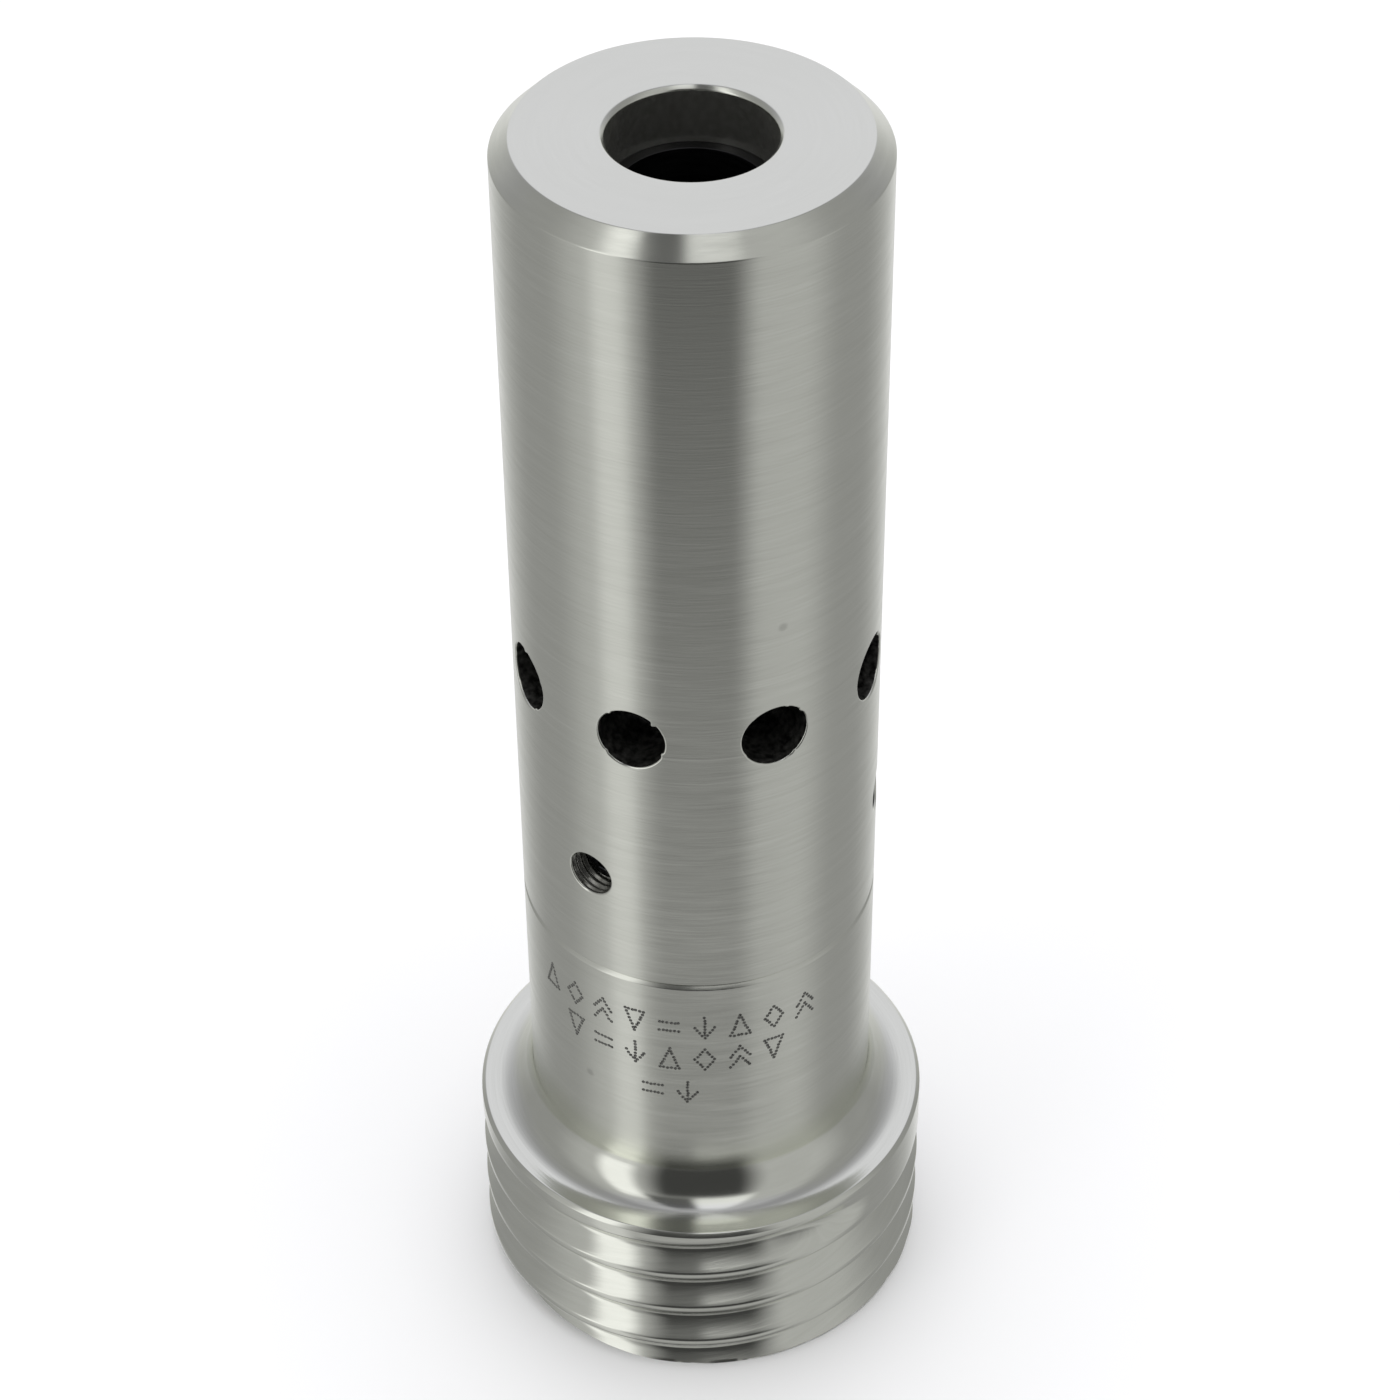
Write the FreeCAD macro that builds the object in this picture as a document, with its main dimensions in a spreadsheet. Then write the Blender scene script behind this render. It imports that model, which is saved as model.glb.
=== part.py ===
"""Air-induction blast nozzle: a threaded inlet jacket, a drilled front sleeve and two hard liners.

The jacket screws into a hose-end holder by its coarse thread.  The front sleeve pushes over a
spigot on the jacket and is held by three set screws.  A hard liner is bonded into each of the
two, and the ring of cross holes between the liners lets outside air into the stream.

Millimetres.  The origin is the centre of the inlet face, and +Z runs along the bore to the exit.
"""
import FreeCAD, Part
import math
import os

import Sketcher

# Driving dimensions: alias, value, meaning.
SIZES = [
    ("thread_radius", 25.0, "crest radius of the inlet thread"),
    ("thread_pitch", 5.644, "one turn of the inlet thread, four and a half to the inch"),
    ("thread_depth", 2.0, "crest to root of the inlet thread"),
    ("thread_crest", 1.0, "flat on top of each thread"),
    ("thread_flank", 42.0, "degrees between a flank and the radial direction"),
    ("thread_rim", 0.224, "whole rim kept above the end of the groove"),
    ("end_chamfer", 0.95, "chamfer at the start of the thread"),
    ("shoulder_rise", 22.7, "inlet face to the top of the threaded head"),
    ("shoulder_chamfer", 0.4, "broken edge round the head"),
    ("shoulder_flat", 0.3, "least flat left between the hollow fillet and the broken edge"),
    ("cove_radius", 4.5, "hollow fillet from the head to the barrel"),
    ("barrel_radius", 19.0, "outside of the jacket and of the sleeve"),
    ("seam_rise", 54.8, "inlet face to the joint between jacket and sleeve"),
    ("seam_chamfer", 0.3, "broken edge on each side of the joint"),
    ("head_wall", 3.75, "jacket between the thread's root and the head of the inlet liner's pocket"),
    ("sleeve_wall", 6.5, "sleeve outside the spigot"),
    ("spigot_wall", 3.25, "spigot outside the slim part of the inlet liner's pocket"),
    ("spigot_length", 24.7, "joint to the spigot's end"),
    ("spigot_chamfer", 0.6, "lead-in at the spigot's end"),
    ("spigot_clearance", 0.05, "radial clearance of the sleeve on the spigot"),
    ("spigot_end_gap", 0.5, "room between the spigot's end and the step in the sleeve"),
    ("sleeve_length", 92.5, "joint to the exit face"),
    ("face_chamfer", 1.9, "chamfer round the exit face"),
    ("exit_step", 0.55, "step from the spigot's socket in to the exit liner's pocket"),
    ("lip_ledge", 1.1, "end of the exit liner left in view inside the hole in the exit face"),
    ("lip_depth", 6.1, "thickness of the lip that the exit liner stops against"),
    ("lip_chamfer", 0.45, "broken edge of the hole in the exit face"),
    ("bond_gap", 0.75, "radial thickness of each layer of adhesive"),
    ("bond_inset", 1.0, "adhesive kept back from the end of each liner"),
    ("entry_wall", 2.6, "inlet liner's wall at its mouth"),
    ("entry_edge", 1.2, "rounding at the mouth of the inlet liner"),
    ("liner_head_length", 9.0, "straight length of the inlet liner's head"),
    ("liner_taper_length", 29.0, "head to the slim part of the inlet liner"),
    ("liner_tip_stand", 1.5, "inlet liner's tip beyond the spigot"),
    ("cone_length", 50.0, "mouth to the start of the throat"),
    ("throat_radius", 3.175, "quarter-inch throat"),
    ("throat_length", 9.0, "straight length of the throat"),
    ("tip_bore_radius", 4.6, "bore at the inlet liner's tip"),
    ("exit_liner_set_back", 4.35, "far side of the air holes to the exit liner"),
    ("catch_wall", 1.65, "exit liner's wall at its mouth"),
    ("catch_length", 14.0, "mouth to the waist of the exit liner"),
    ("waist_step", 1.45, "bore at the exit liner's end down to its waist, on the radius"),
    ("waist_length", 6.0, "straight length of that waist"),
    ("exit_wall", 4.2, "exit liner's wall at its end"),
    ("air_hole_radius", 3.55, "radius of each air hole"),
    ("air_hole_set_back", 4.75, "end of the spigot's socket to the near side of the air holes"),
    ("air_hole_count", 8.0, "air holes round the sleeve"),
    ("screw_radius", 2.5, "thread of the set screws, M5"),
    ("screw_length", 4.0, "length of a set screw"),
    ("screw_clearance", 0.05, "radial clearance that stands for the thread's"),
    ("screw_seat_gap", 0.02, "room between a set screw's point and the spigot"),
    ("screw_set_back", 13.1, "joint to the set screws"),
    ("screw_count", 3.0, "set screws round the sleeve"),
    ("screw_bearing", -105.6, "degrees from +X to the first set screw"),
    ("screw_cup_radius", 1.25, "rim of the cup point"),
    ("screw_cup_depth", 0.5, "depth of the cup"),
    ("screw_point_length", 0.9, "tapered length at the point"),
    ("screw_edge", 0.35, "chamfer at the socket end"),
    ("socket_flats", 2.5, "hexagon key across flats"),
    ("socket_depth", 2.0, "depth of the hexagon socket"),
    ("drill_overrun", 4.5, "how far a cut for a cross hole runs past the outside"),
]

# Places worked out from those dimensions: alias, formula.
PLACES = [
    ("end_radius", "Sizes.thread_radius - Sizes.end_chamfer"),
    ("shoulder_edge_radius", "Sizes.thread_radius - Sizes.shoulder_chamfer"),
    ("shoulder_edge_rise", "Sizes.shoulder_rise - Sizes.shoulder_chamfer"),
    ("cove_room", "shoulder_edge_radius - Sizes.barrel_radius - Sizes.shoulder_flat"),
    ("cove_fit", "min(Sizes.cove_radius; cove_room)"),
    ("cove_foot_radius", "Sizes.barrel_radius + cove_fit"),
    ("cove_top", "Sizes.shoulder_rise + cove_fit"),
    ("seam_edge_radius", "Sizes.barrel_radius - Sizes.seam_chamfer"),
    ("seam_lower_edge", "Sizes.seam_rise - Sizes.seam_chamfer"),
    ("seam_upper_edge", "Sizes.seam_rise + Sizes.seam_chamfer"),
    ("spigot_radius", "Sizes.barrel_radius - Sizes.sleeve_wall"),
    ("spigot_top", "Sizes.seam_rise + Sizes.spigot_length"),
    ("spigot_edge_radius", "spigot_radius - Sizes.spigot_chamfer"),
    ("spigot_edge_rise", "spigot_top - Sizes.spigot_chamfer"),
    ("socket_radius", "spigot_radius + Sizes.spigot_clearance"),
    ("socket_end", "spigot_top + Sizes.spigot_end_gap"),
    ("exit_face", "Sizes.seam_rise + Sizes.sleeve_length"),
    ("face_edge_radius", "Sizes.barrel_radius - Sizes.face_chamfer"),
    ("face_edge_rise", "exit_face - Sizes.face_chamfer"),
    ("lip_edge_rise", "exit_face - Sizes.lip_chamfer"),
    ("lip_underside", "exit_face - Sizes.lip_depth"),
    ("exit_pocket_radius", "socket_radius - Sizes.exit_step"),
    ("exit_liner_radius", "exit_pocket_radius - Sizes.bond_gap"),
    ("catch_radius", "exit_liner_radius - Sizes.catch_wall"),
    ("exit_bore_radius", "exit_liner_radius - Sizes.exit_wall"),
    ("waist_radius", "exit_bore_radius - Sizes.waist_step"),
    ("lip_radius", "exit_bore_radius + Sizes.lip_ledge"),
    ("lip_edge_radius", "lip_radius + Sizes.lip_chamfer"),
    ("air_hole_rise", "socket_end + Sizes.air_hole_set_back + Sizes.air_hole_radius"),
    ("exit_liner_foot", "air_hole_rise + Sizes.air_hole_radius + Sizes.exit_liner_set_back"),
    ("exit_bond_foot", "exit_liner_foot + Sizes.bond_inset"),
    ("exit_bond_top", "lip_underside - Sizes.bond_inset"),
    ("waist_foot", "exit_liner_foot + Sizes.catch_length"),
    ("waist_top", "waist_foot + Sizes.waist_length"),
    ("taper_top", "Sizes.liner_head_length + Sizes.liner_taper_length"),
    ("root_radius", "Sizes.thread_radius - Sizes.thread_depth"),
    ("head_pocket_radius", "root_radius - Sizes.head_wall"),
    ("liner_head_radius", "head_pocket_radius - Sizes.bond_gap"),
    ("entry_radius", "liner_head_radius - Sizes.entry_wall"),
    ("slim_pocket_radius", "spigot_radius - Sizes.spigot_wall"),
    ("liner_slim_radius", "slim_pocket_radius - Sizes.bond_gap"),
    ("tip_rise", "spigot_top + Sizes.liner_tip_stand"),
    ("throat_top", "Sizes.cone_length + Sizes.throat_length"),
    ("entry_edge_radius", "entry_radius + Sizes.entry_edge"),
    ("inlet_bond_top", "spigot_top - Sizes.bond_inset"),
    ("groove_mid", "-0.5 * Sizes.thread_pitch"),
    ("groove_half_outer", "0.5 * (Sizes.thread_pitch - Sizes.thread_crest)"),
    ("groove_reach", "Sizes.thread_radius + 0.5 * Sizes.thread_depth"),
    ("flank_run", "Sizes.thread_depth * tan(Sizes.thread_flank * 1 deg)"),
    ("groove_low_root", "groove_mid - groove_half_outer + flank_run"),
    ("groove_high_root", "groove_mid + groove_half_outer - flank_run"),
    ("groove_low_mouth", "groove_mid - groove_half_outer - 0.5 * flank_run"),
    ("groove_high_mouth", "groove_mid + groove_half_outer + 0.5 * flank_run"),
    ("groove_end", "shoulder_edge_rise - Sizes.thread_rim - groove_half_outer"),
    ("thread_climb", "groove_end - groove_mid"),
    ("screw_hole_radius", "Sizes.screw_radius + Sizes.screw_clearance"),
    ("screw_rise", "Sizes.seam_rise + Sizes.screw_set_back"),
    ("screw_tip", "spigot_radius + Sizes.screw_seat_gap"),
    ("screw_cup_floor", "screw_tip + Sizes.screw_cup_depth"),
    ("screw_shank_start", "screw_tip + Sizes.screw_point_length"),
    ("screw_head", "screw_tip + Sizes.screw_length"),
    ("screw_edge_start", "screw_head - Sizes.screw_edge"),
    ("screw_edge_radius", "Sizes.screw_radius - Sizes.screw_edge"),
    ("cross_hole_reach", "Sizes.barrel_radius + Sizes.drill_overrun"),
]

doc = FreeCAD.newDocument("blast_nozzle")


def fill_sheet(name, rows, as_formula):
    """Write one sheet: the name, the value or formula and its alias on each row."""
    sheet = doc.addObject("Spreadsheet::Sheet", name)
    for number, row in enumerate(rows, start=1):
        sheet.set("A%d" % number, row[0])
        sheet.set("B%d" % number, "=" + row[1] if as_formula else str(row[1]))
        sheet.setAlias("B%d" % number, row[0])
        if len(row) > 2:
            sheet.set("C%d" % number, row[2])
    doc.recompute()
    return sheet


sizes = fill_sheet("Sizes", SIZES, False)
places = fill_sheet("Places", PLACES, True)
SIZE_NAMES = {row[0] for row in SIZES}


def source(alias):
    """The expression that reads a named value from its sheet."""
    return ("Sizes." if alias in SIZE_NAMES else "Places.") + alias


def value(alias):
    """A named value as a plain number."""
    return float((sizes if alias in SIZE_NAMES else places).get(alias))


def plane(body, role):
    """One of the body's own origin planes or axes."""
    return next(item for item in body.Origin.OriginFeatures if item.Role == role)


def new_body(label):
    """An empty body whose label becomes the node's name."""
    body = doc.addObject("PartDesign::Body", label)
    body.Label = label
    return body


def new_sketch(body, name, role):
    """A sketch on an origin plane of the body."""
    sketch = body.newObject("Sketcher::SketchObject", name)
    sketch.AttachmentSupport = [(plane(body, role), "")]
    sketch.MapMode = "FlatFace"
    return sketch


def tie(sketch, kind, geometry, point, alias):
    """Fix one coordinate of a point to a named value, or put it on the axis where that is 0."""
    if alias == 0:
        axis = -2 if kind == "DistanceX" else -1
        sketch.addConstraint(Sketcher.Constraint("PointOnObject", geometry, point, axis))
        return
    index = sketch.addConstraint(
        Sketcher.Constraint(kind, -1, 1, geometry, point, value(alias)))
    sketch.setExpression("Constraints[%d]" % index, source(alias))


def number_of(alias):
    """A corner's coordinate as a number, where 0 stands for the axis itself."""
    return 0.0 if alias == 0 else value(alias)


def outline(sketch, corners, hollow=None):
    """A closed outline through corners, each a pair of value names.

    hollow is (index of the corner that a concave quarter round starts from, its radius); its
    centre is over the start corner and level with the next one.
    """
    points = [FreeCAD.Vector(number_of(x), number_of(y), 0) for x, y in corners]
    count = len(points)
    for index in range(count):
        start = points[index]
        finish = points[(index + 1) % count]
        if hollow and index == hollow[0]:
            circle = Part.Circle(FreeCAD.Vector(start.x, finish.y, 0), FreeCAD.Vector(0, 0, 1),
                                 value(hollow[1]))
            sketch.addGeometry(Part.ArcOfCircle(circle, math.pi, 1.5 * math.pi), False)
        else:
            sketch.addGeometry(Part.LineSegment(start, finish), False)
    for index in range(count):
        following = (index + 1) % count
        end_point = 1 if hollow and index == hollow[0] else 2
        start_point = 2 if hollow and following == hollow[0] else 1
        sketch.addConstraint(
            Sketcher.Constraint("Coincident", index, end_point, following, start_point))
    for index, (across, up) in enumerate(corners):
        start_point = 2 if hollow and index == hollow[0] else 1
        tie(sketch, "DistanceX", index, start_point, across)
        tie(sketch, "DistanceY", index, start_point, up)
    if hollow:
        index = sketch.addConstraint(Sketcher.Constraint("Radius", hollow[0], value(hollow[1])))
        sketch.setExpression("Constraints[%d]" % index, source(hollow[1]))


def turned(label, corners, hollow=None):
    """A body turned about Z from its half section."""
    body = new_body(label)
    sketch = new_sketch(body, label + "_section", "XZ_Plane")
    outline(sketch, corners, hollow)
    feature = body.newObject("PartDesign::Revolution", label + "_turning")
    feature.Profile = sketch
    feature.ReferenceAxis = (sketch, ["V_Axis"])
    feature.Angle = 360.0
    sketch.Visibility = False
    doc.recompute()
    return body


def cut_is_real(body, before, what):
    """Stop if a cut took nothing away."""
    if not body.Shape.Volume < before - 1.0:
        raise RuntimeError("%s removed nothing" % what)


# Jacket: turned aluminium with the coarse inlet thread, a hollow fillet and the spigot.
rear_body = turned("rear_body", [
    ("head_pocket_radius", 0),
    ("end_radius", 0),
    ("thread_radius", "end_chamfer"),
    ("thread_radius", "shoulder_edge_rise"),
    ("shoulder_edge_radius", "shoulder_rise"),
    ("cove_foot_radius", "shoulder_rise"),
    ("barrel_radius", "cove_top"),
    ("barrel_radius", "seam_lower_edge"),
    ("seam_edge_radius", "seam_rise"),
    ("spigot_radius", "seam_rise"),
    ("spigot_radius", "spigot_edge_rise"),
    ("spigot_edge_radius", "spigot_top"),
    ("slim_pocket_radius", "spigot_top"),
    ("slim_pocket_radius", "taper_top"),
    ("head_pocket_radius", "liner_head_length"),
], hollow=(5, "cove_fit"))

groove = new_sketch(rear_body, "thread_section", "XZ_Plane")
outline(groove, [
    ("root_radius", "groove_low_root"),
    ("groove_reach", "groove_low_mouth"),
    ("groove_reach", "groove_high_mouth"),
    ("root_radius", "groove_high_root"),
])
uncut = rear_body.Shape.Volume
thread = rear_body.newObject("PartDesign::SubtractiveHelix", "inlet_thread")
thread.Profile = groove
thread.ReferenceAxis = (groove, ["V_Axis"])
thread.Mode = 0
thread.setExpression("Pitch", "Sizes.thread_pitch")
thread.setExpression("Height", "Places.thread_climb")
thread.Angle = 0.0
thread.LeftHanded = False
thread.Reversed = False
groove.Visibility = False
doc.recompute()
cut_is_real(rear_body, uncut, "the inlet thread")

# Inlet liner: hard carbide, wide at the mouth, with a long cone, a throat and a flared tip.
inlet_liner = turned("inlet_liner", [
    ("entry_edge_radius", 0),
    ("liner_head_radius", 0),
    ("liner_head_radius", "liner_head_length"),
    ("liner_slim_radius", "taper_top"),
    ("liner_slim_radius", "tip_rise"),
    ("tip_bore_radius", "tip_rise"),
    ("throat_radius", "throat_top"),
    ("throat_radius", "cone_length"),
    ("entry_radius", "entry_edge"),
])

# Adhesive between the inlet liner and the jacket.
inlet_liner_bond = turned("inlet_liner_bond", [
    ("liner_head_radius", "bond_inset"),
    ("head_pocket_radius", "bond_inset"),
    ("head_pocket_radius", "liner_head_length"),
    ("slim_pocket_radius", "taper_top"),
    ("slim_pocket_radius", "inlet_bond_top"),
    ("liner_slim_radius", "inlet_bond_top"),
    ("liner_slim_radius", "taper_top"),
    ("liner_head_radius", "liner_head_length"),
])

# Front sleeve: turned aluminium with a socket for the spigot, a pocket for the exit liner and a
# lip round the exit.
front_sleeve = turned("front_sleeve", [
    ("socket_radius", "seam_rise"),
    ("seam_edge_radius", "seam_rise"),
    ("barrel_radius", "seam_upper_edge"),
    ("barrel_radius", "face_edge_rise"),
    ("face_edge_radius", "exit_face"),
    ("lip_edge_radius", "exit_face"),
    ("lip_radius", "lip_edge_rise"),
    ("lip_radius", "lip_underside"),
    ("exit_pocket_radius", "lip_underside"),
    ("exit_pocket_radius", "socket_end"),
    ("socket_radius", "socket_end"),
])


def cross_holes(body, name, radius, rise, count, bearing=None):
    """A ring of round holes drilled from the outside to the bore."""
    sketch = new_sketch(body, name + "_circle", "YZ_Plane")
    centre = FreeCAD.Vector(0, value(rise), 0)
    sketch.addGeometry(Part.Circle(centre, FreeCAD.Vector(0, 0, 1), value(radius)), False)
    tie(sketch, "DistanceX", 0, 3, 0)
    tie(sketch, "DistanceY", 0, 3, rise)
    index = sketch.addConstraint(Sketcher.Constraint("Radius", 0, value(radius)))
    sketch.setExpression("Constraints[%d]" % index, source(radius))
    if bearing:
        sketch.AttachmentOffset = FreeCAD.Placement(
            FreeCAD.Vector(0, 0, 0), FreeCAD.Rotation(FreeCAD.Vector(0, 1, 0), value(bearing)))
        sketch.setExpression("AttachmentOffset.Rotation.Angle", source(bearing))
    doc.recompute()
    before = body.Shape.Volume
    hole = body.newObject("PartDesign::Pocket", name)
    hole.Profile = sketch
    hole.Type = 0
    hole.setExpression("Length", "Places.cross_hole_reach")
    hole.Reversed = True
    sketch.Visibility = False
    doc.recompute()
    cut_is_real(body, before, name)
    single = body.Shape.Volume
    ring = body.newObject("PartDesign::PolarPattern", name + "_ring")
    ring.Originals = [hole]
    ring.Axis = (plane(body, "Z_Axis"), [""])
    ring.Angle = 360.0
    ring.setExpression("Occurrences", source(count))
    body.Tip = ring
    doc.recompute()
    cut_is_real(body, single, name + "_ring")


cross_holes(front_sleeve, "air_holes", "air_hole_radius", "air_hole_rise", "air_hole_count")
cross_holes(front_sleeve, "screw_holes", "screw_hole_radius", "screw_rise", "screw_count",
            "screw_bearing")

# Exit liner: hard carbide, a second venturi that catches the jet and the drawn-in air.
exit_liner = turned("exit_liner", [
    ("catch_radius", "exit_liner_foot"),
    ("exit_liner_radius", "exit_liner_foot"),
    ("exit_liner_radius", "lip_underside"),
    ("exit_bore_radius", "lip_underside"),
    ("waist_radius", "waist_top"),
    ("waist_radius", "waist_foot"),
])

# Adhesive between the exit liner and the sleeve.
exit_liner_bond = turned("exit_liner_bond", [
    ("exit_liner_radius", "exit_bond_foot"),
    ("exit_pocket_radius", "exit_bond_foot"),
    ("exit_pocket_radius", "exit_bond_top"),
    ("exit_liner_radius", "exit_bond_top"),
])


def set_screw(number):
    """A socket set screw with a cup point, lying on a radius of the sleeve."""
    label = "set_screw_%d" % number
    body = new_body(label)
    sketch = new_sketch(body, label + "_section", "XY_Plane")
    outline(sketch, [
        ("screw_cup_floor", 0),
        ("screw_tip", "screw_cup_radius"),
        ("screw_shank_start", "screw_radius"),
        ("screw_edge_start", "screw_radius"),
        ("screw_head", "screw_edge_radius"),
        ("screw_head", 0),
    ])
    sketch.AttachmentOffset = FreeCAD.Placement(
        FreeCAD.Vector(0, 0, value("screw_rise")), FreeCAD.Rotation())
    sketch.setExpression("AttachmentOffset.Base.z", "Places.screw_rise")
    shank = body.newObject("PartDesign::Revolution", label + "_shank")
    shank.Profile = sketch
    shank.ReferenceAxis = (sketch, ["H_Axis"])
    shank.Angle = 360.0
    sketch.Visibility = False
    doc.recompute()
    before = body.Shape.Volume
    key = new_sketch(body, label + "_key", "YZ_Plane")
    corner_radius = value("socket_flats") / math.sqrt(3)
    middle = FreeCAD.Vector(0, value("screw_rise"), 0)
    corners = [middle + FreeCAD.Vector(corner_radius * math.cos(step * math.pi / 3),
                                       corner_radius * math.sin(step * math.pi / 3), 0)
               for step in range(6)]
    for step in range(6):
        key.addGeometry(Part.LineSegment(corners[step], corners[(step + 1) % 6]), False)
    circle = key.addGeometry(
        Part.Circle(middle, FreeCAD.Vector(0, 0, 1), corner_radius), True)
    for step in range(6):
        key.addConstraint(Sketcher.Constraint("Coincident", step, 2, (step + 1) % 6, 1))
        key.addConstraint(Sketcher.Constraint("PointOnObject", step, 1, circle))
    for step in range(1, 6):
        key.addConstraint(Sketcher.Constraint("Equal", 0, step))
    key.addConstraint(Sketcher.Constraint("Horizontal", 1))
    tie(key, "DistanceX", circle, 3, 0)
    tie(key, "DistanceY", circle, 3, "screw_rise")
    index = key.addConstraint(Sketcher.Constraint("Radius", circle, corner_radius))
    key.setExpression("Constraints[%d]" % index, "Sizes.socket_flats / sqrt(3)")
    key.AttachmentOffset = FreeCAD.Placement(
        FreeCAD.Vector(0, 0, value("screw_head")), FreeCAD.Rotation())
    key.setExpression("AttachmentOffset.Base.z", "Places.screw_head")
    socket = body.newObject("PartDesign::Pocket", label + "_socket")
    socket.Profile = key
    socket.Type = 0
    socket.setExpression("Length", "Sizes.socket_depth")
    key.Visibility = False
    doc.recompute()
    cut_is_real(body, before, label + "_socket")
    bearing = "Sizes.screw_bearing + %d * 360 / Sizes.screw_count" % (number - 1)
    body.Placement = FreeCAD.Placement(
        FreeCAD.Vector(0, 0, 0),
        FreeCAD.Rotation(FreeCAD.Vector(0, 0, 1), value("screw_bearing")))
    body.setExpression("Placement.Rotation.Angle", bearing)
    doc.recompute()
    return body


screws = [set_screw(number) for number in range(1, int(value("screw_count")) + 1)]

pieces = [rear_body, inlet_liner, inlet_liner_bond, front_sleeve, exit_liner, exit_liner_bond]
pieces += screws

doc.recompute()
for item in doc.Objects:
    if "Invalid" in item.State or "Error" in item.State:
        raise RuntimeError("%s did not build: %s" % (item.Name, item.State))
for piece in pieces:
    if piece.Shape.isNull() or not piece.Shape.isValid():
        raise RuntimeError("%s has no valid shape" % piece.Label)

os.makedirs("parts", exist_ok=True)
for piece in pieces:
    piece.Shape.exportStep("parts/%s.step" % piece.Label)
    box = piece.Shape.BoundBox
    print("%-18s volume %9.1f  z %.2f to %.2f  solids %d" % (
        piece.Label, piece.Shape.Volume, box.ZMin, box.ZMax, len(piece.Shape.Solids)))
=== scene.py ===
"""The finished look of the air-induction blast nozzle, piece by piece, as it is put together."""

import math

import bmesh
import bpy
import numpy as np
from mathutils import Matrix


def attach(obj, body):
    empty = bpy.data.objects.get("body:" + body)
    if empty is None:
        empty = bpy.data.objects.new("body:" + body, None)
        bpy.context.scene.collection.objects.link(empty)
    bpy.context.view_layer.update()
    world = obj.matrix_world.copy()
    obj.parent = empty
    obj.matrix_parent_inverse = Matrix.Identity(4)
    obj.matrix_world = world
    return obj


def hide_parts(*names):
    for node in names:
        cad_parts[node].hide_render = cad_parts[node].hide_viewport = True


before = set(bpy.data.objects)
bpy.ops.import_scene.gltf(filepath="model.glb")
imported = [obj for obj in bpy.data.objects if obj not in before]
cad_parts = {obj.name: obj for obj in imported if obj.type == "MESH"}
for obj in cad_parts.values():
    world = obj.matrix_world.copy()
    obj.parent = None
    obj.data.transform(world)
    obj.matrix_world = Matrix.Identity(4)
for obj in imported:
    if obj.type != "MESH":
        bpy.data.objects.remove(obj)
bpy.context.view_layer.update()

# ---------------------------------------------------------------------------------------------
# Inlet jacket.  Turned from aluminium bar in one chucking: a coarse right-hand thread at the
# inlet, a hollow fillet, the barrel and a spigot for the sleeve.  Millimetres throughout.
# ---------------------------------------------------------------------------------------------
MM = 0.001
AROUND = 360
thread_radius = 25.0
thread_depth = 2.0
thread_pitch = 5.644
crest_half = 0.5
flank_run = thread_depth * math.tan(math.radians(42.0))
upper_rounding = (0.06, 0.12)
lower_rounding = (0.20, 0.10)
flank_hollow = 0.08
run_out_turn = 0.05
run_out_length = 0.09
groove_start = -0.5 * thread_pitch
end_chamfer = 0.95
shoulder_rise = 22.7
shoulder_edge = 0.4
cove_radius = 4.5
barrel_radius = 19.0
seam_rise = 54.8
seam_edge = 0.38
spigot_radius = 12.5
spigot_top = 79.5
spigot_edge = 0.6
head_pocket_radius = 19.25
slim_pocket_radius = 9.25
liner_head_length = 9.0
liner_taper_top = 38.0
head_finish_top = 27.2
exit_face = 147.3
witness_rise = 86.7
dull_spots = [(13.9, -13.0, 102.0), (-6.0, -18.0, 37.9)]


def softened(corners, closed=True, hold=0.12, steps=4):
    """An outline through (across, up, rounding) corners; an open one keeps its ends sharp.

    Each corner with a rounding becomes a short parabola that leaves both edges at that distance
    from the corner.  A held point beside each rounding keeps the shading of long edges flat.
    """
    line = []
    spots = np.array([corner[:2] for corner in corners], float)
    for index, (_, _, rounding) in enumerate(corners):
        here = spots[index]
        if not closed and index in (0, len(corners) - 1):
            line.append(here)
            continue
        before = spots[index - 1] - here
        after = spots[(index + 1) % len(corners)] - here
        reach_in = np.linalg.norm(before)
        reach_out = np.linalg.norm(after)
        enter = here + before / reach_in * min(rounding, 0.45 * reach_in)
        leave = here + after / reach_out * min(rounding, 0.45 * reach_out)
        if reach_in > 4 * (rounding + hold):
            line.append(here + before / reach_in * (rounding + hold))
        along = np.linspace(0.0, 1.0, steps + 1)[:, None] if rounding else np.zeros((1, 1))
        curve = (1 - along) ** 2 * enter + 2 * along * (1 - along) * here + along ** 2 * leave
        line.extend(curve)
        if reach_out > 4 * (rounding + hold):
            line.append(here + after / reach_out * (rounding + hold))
    return np.array(line)


def quarter_hollow(radius, rise, size, steps=24):
    """Points of a hollow quarter round, from a flat at this rise up to a cylinder of this radius."""
    turn = np.linspace(0.0, 0.5 * math.pi, steps + 1)
    return np.column_stack([radius + size * (1 - np.sin(turn)), rise + size * (1 - np.cos(turn))])


def grid_faces(rows, columns, closed):
    """Quads between neighbouring rows of a grid; closed joins the last column to the first."""
    row = np.arange(rows - 1)[:, None]
    column = np.arange(columns if closed else columns - 1)[None, :]
    following = (column + 1) % columns
    corners = [row * columns + column, row * columns + following,
               (row + 1) * columns + following, (row + 1) * columns + column]
    return np.stack(np.broadcast_arrays(*corners), axis=-1).reshape(-1, 4)


def turned(outline, around=AROUND):
    """Points and quads of an outline of (across, up) carried round Z."""
    outline = np.asarray(outline, float)
    turn = np.arange(around) * 2 * math.pi / around
    across = outline[:, 0][:, None]
    up = np.broadcast_to(outline[:, 1][:, None], (len(outline), around))
    points = np.stack([across * np.cos(turn), across * np.sin(turn), up], axis=-1)
    return points.reshape(-1, 3), grid_faces(len(outline), around, True)


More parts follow.
